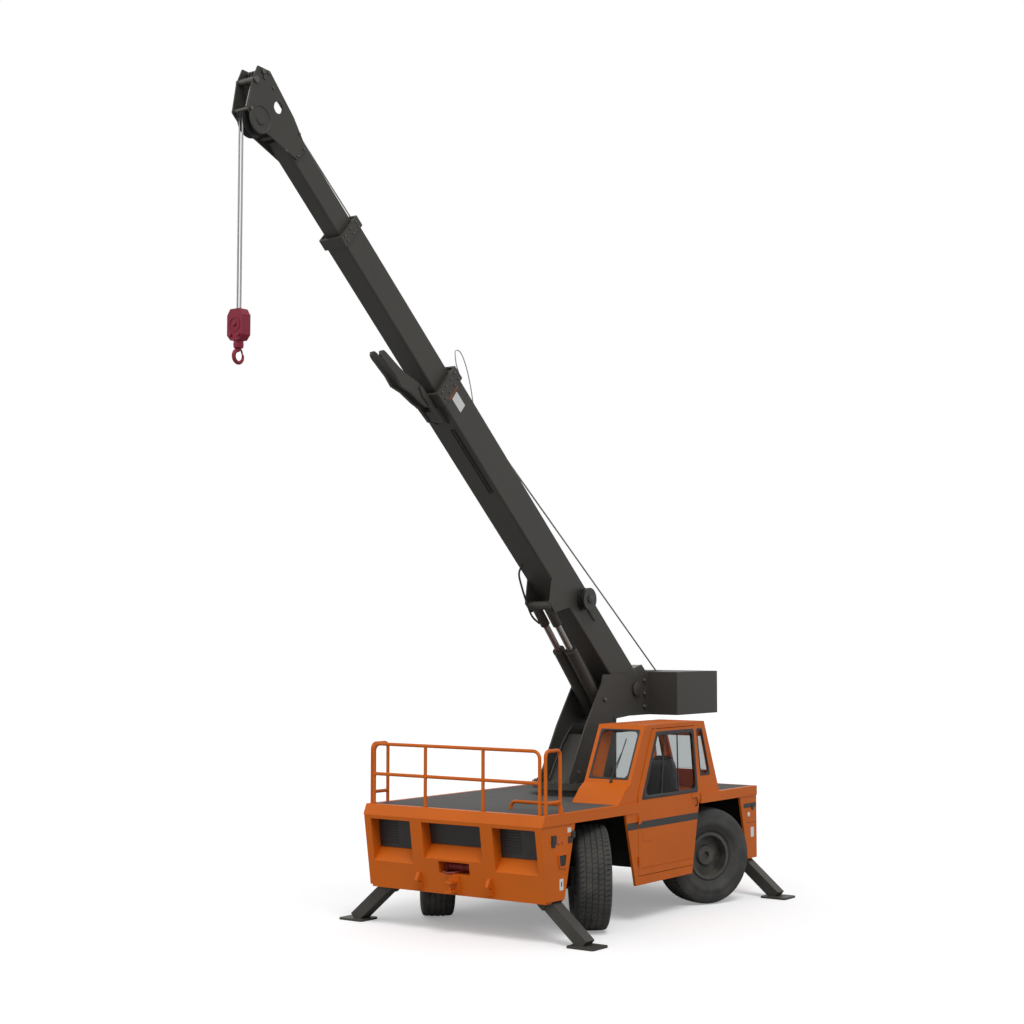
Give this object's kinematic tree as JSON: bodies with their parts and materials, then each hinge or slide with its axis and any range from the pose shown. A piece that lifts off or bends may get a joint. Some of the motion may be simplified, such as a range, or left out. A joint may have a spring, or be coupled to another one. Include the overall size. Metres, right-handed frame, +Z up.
{
  "type": "carry deck crane",
  "caption": "Flat-deck four-wheel-steer mobile crane with side cab, slewing mast and a three-section telescopic boom with hoist and hook.",
  "frame": {"origin": "on the ground under the middle of the whole outline", "axes": "+X forward, +Y to the left, +Z up"},
  "size_m": [8.1278, 3.46, 8.6684],
  "materials": {
    "orange_paint": "see scene",
    "dark_paint": "see scene",
    "black_panel": "see scene",
    "deck_grip": "see scene",
    "engine_iron": "see scene",
    "winch_red": "see scene",
    "glass": "see scene",
    "seat_vinyl": "see scene",
    "cab_plastic": "see scene",
    "chrome_rod": "see scene",
    "rope_steel": "see scene",
    "sheave_dark": "see scene",
    "hook_maroon": "see scene",
    "tyre_rubber": "see scene"
  },
  "bodies": {
    "carrier": {"chassis_frame": "dark_paint", "front_body": "orange_paint", "grille_panels": "black_panel", "deck_band": "orange_paint", "deck_plate": "deck_grip", "side_panels": "orange_paint", "rear_body": "orange_paint", "engine_block": "engine_iron", "deck_rails": "orange_paint", "tow_gear": "orange_paint", "front_winch": "winch_red", "front_axle": "dark_paint", "rear_axle": "dark_paint", "outrigger_housings": "dark_paint", "cab_shell": "orange_paint", "cab_glass": "glass", "seat": "seat_vinyl", "cab_controls": "cab_plastic", "lamps": "black_panel", "slew_bearing": "dark_paint"},
    "cab_door": {"door_panel": "orange_paint", "door_glass": "glass"},
    "superstructure": {"slew_platform": "dark_paint", "mast_plates": "dark_paint", "mast_webs": "dark_paint", "counterweight": "dark_paint"},
    "lift_barrel": {"lift_barrels": "dark_paint"},
    "lift_rod": {"lift_rods": "chrome_rod"},
    "boom_base": {"boom_base_section": "dark_paint", "stow_fork": "dark_paint", "cable_reel": "black_panel", "hoist_winch": "rope_steel"},
    "boom_mid": {"boom_mid_section": "dark_paint"},
    "boom_tip": {"boom_tip_section": "dark_paint", "boom_head": "dark_paint", "head_sheaves": "sheave_dark"},
    "hoist_line": {"hoist_falls": "rope_steel"},
    "hook_set": {"hook_block": "hook_maroon", "hook": "hook_maroon"},
    "steer_fl": {"knuckle_fl": "dark_paint"},
    "wheel_fl": {"rim_fl": "dark_paint", "tyre_fl": "tyre_rubber"},
    "steer_fr": {"knuckle_fr": "dark_paint"},
    "wheel_fr": {"rim_fr": "dark_paint", "tyre_fr": "tyre_rubber"},
    "steer_rl": {"knuckle_rl": "dark_paint"},
    "wheel_rl": {"rim_rl": "dark_paint", "tyre_rl": "tyre_rubber"},
    "steer_rr": {"knuckle_rr": "dark_paint"},
    "wheel_rr": {"rim_rr": "dark_paint", "tyre_rr": "tyre_rubber"},
    "outrigger_fl": {"outrigger_fl": "dark_paint"},
    "outrigger_fr": {"outrigger_fr": "dark_paint"},
    "outrigger_rl": {"outrigger_rl": "dark_paint"},
    "outrigger_rr": {"outrigger_rr": "dark_paint"}
  },
  "joints": [
    {"name": "slew", "type": "hinge", "parent": "carrier", "child": "superstructure", "pos_m": [-1.7739, 0, 1.425], "axis": [0, 0, 1], "continuous": true},
    {"name": "luff", "type": "hinge", "parent": "superstructure", "child": "boom_base", "pos_m": [-2.7239, 0, 2.56], "axis": [0, -1, 0], "range_deg": [-38, 33]},
    {"name": "lift_swing", "type": "hinge", "parent": "superstructure", "child": "lift_barrel", "pos_m": [-2.2439, 0, 2.22], "axis": [0, -1, 0], "range_deg": [-40.4, 35.15]},
    {"name": "lift_stroke", "type": "slide", "parent": "lift_barrel", "child": "lift_rod", "axis": [0.6762, 0, 0.7367], "range_m": [-0.365, 0.32]},
    {"name": "extend_mid", "type": "slide", "parent": "boom_base", "child": "boom_mid", "axis": [0.7431, 0, 0.6691], "range_m": [-1.9, 1.6]},
    {"name": "extend_tip", "type": "slide", "parent": "boom_mid", "child": "boom_tip", "axis": [0.7431, 0, 0.6691], "range_m": [-0.87, 1.9]},
    {"name": "hoist_plumb", "type": "hinge", "parent": "boom_tip", "child": "hoist_line", "pos_m": [3.9819, 0, 8.14955], "axis": [0, -1, 0], "range_deg": [-33.5, 38.5]},
    {"name": "hook_hoist", "type": "slide", "parent": "hoist_line", "child": "hook_set", "axis": [0, 0, -1], "range_m": [-1.3, 0], "deforming": ["hoist_falls"]},
    {"name": "door_swing", "type": "hinge", "parent": "carrier", "child": "cab_door", "pos_m": [-1.1699, 1.2223, 0.7], "axis": [0, 0, 1], "range_deg": [-75, 0]},
    {"name": "steer_fl", "type": "hinge", "parent": "carrier", "child": "steer_fl", "pos_m": [-0.4139, 0.86, 0.575], "axis": [0, 0, 1], "range_deg": [-82, 2]},
    {"name": "roll_fl", "type": "hinge", "parent": "steer_fl", "child": "wheel_fl", "pos_m": [-0.51675, 0.98257, 0.575], "axis": [-0.6428, 0.766, 0], "continuous": true},
    {"name": "steer_fr", "type": "hinge", "parent": "carrier", "child": "steer_fr", "pos_m": [-0.4139, -0.86, 0.575], "axis": [0, 0, 1], "range_deg": [-82.2, 2.2]},
    {"name": "roll_fr", "type": "hinge", "parent": "steer_fr", "child": "wheel_fr", "pos_m": [-0.31105, -0.98257, 0.575], "axis": [-0.6428, 0.766, 0], "continuous": true},
    {"name": "steer_rl", "type": "hinge", "parent": "carrier", "child": "steer_rl", "pos_m": [-3.0239, 0.86, 0.575], "axis": [0, 0, 1], "range_deg": [-18, 66]},
    {"name": "roll_rl", "type": "hinge", "parent": "steer_rl", "child": "wheel_rl", "pos_m": [-2.95882, 1.00617, 0.575], "axis": [0.4067, 0.9135, 0], "continuous": true},
    {"name": "steer_rr", "type": "hinge", "parent": "carrier", "child": "steer_rr", "pos_m": [-3.0239, -0.86, 0.575], "axis": [0, 0, 1], "range_deg": [-18.2, 66.2]},
    {"name": "roll_rr", "type": "hinge", "parent": "steer_rr", "child": "wheel_rr", "pos_m": [-3.08898, -1.00617, 0.575], "axis": [0.4067, 0.9135, 0], "continuous": true},
    {"name": "outrigger_fl", "type": "slide", "parent": "carrier", "child": "outrigger_fl", "axis": [0, 0.766, -0.6428], "range_m": [-0.4, 0]},
    {"name": "outrigger_fr", "type": "slide", "parent": "carrier", "child": "outrigger_fr", "axis": [0, -0.766, -0.6428], "range_m": [-0.4, 0]},
    {"name": "outrigger_rl", "type": "slide", "parent": "carrier", "child": "outrigger_rl", "axis": [0, 0.766, -0.6428], "range_m": [-0.4, 0]},
    {"name": "outrigger_rr", "type": "slide", "parent": "carrier", "child": "outrigger_rr", "axis": [0, -0.766, -0.6428], "range_m": [-0.4, 0]}
  ],
  "couplings": [
    {"joint": "lift_swing", "follows": "luff", "ratio": 1.05},
    {"joint": "lift_stroke", "follows": "luff", "m_per_rad": 0.5386},
    {"joint": "hoist_plumb", "follows": "luff", "ratio": -1},
    {"joint": "steer_fr", "follows": "steer_fl", "ratio": 1},
    {"joint": "steer_rr", "follows": "steer_rl", "ratio": 1}
  ]
}
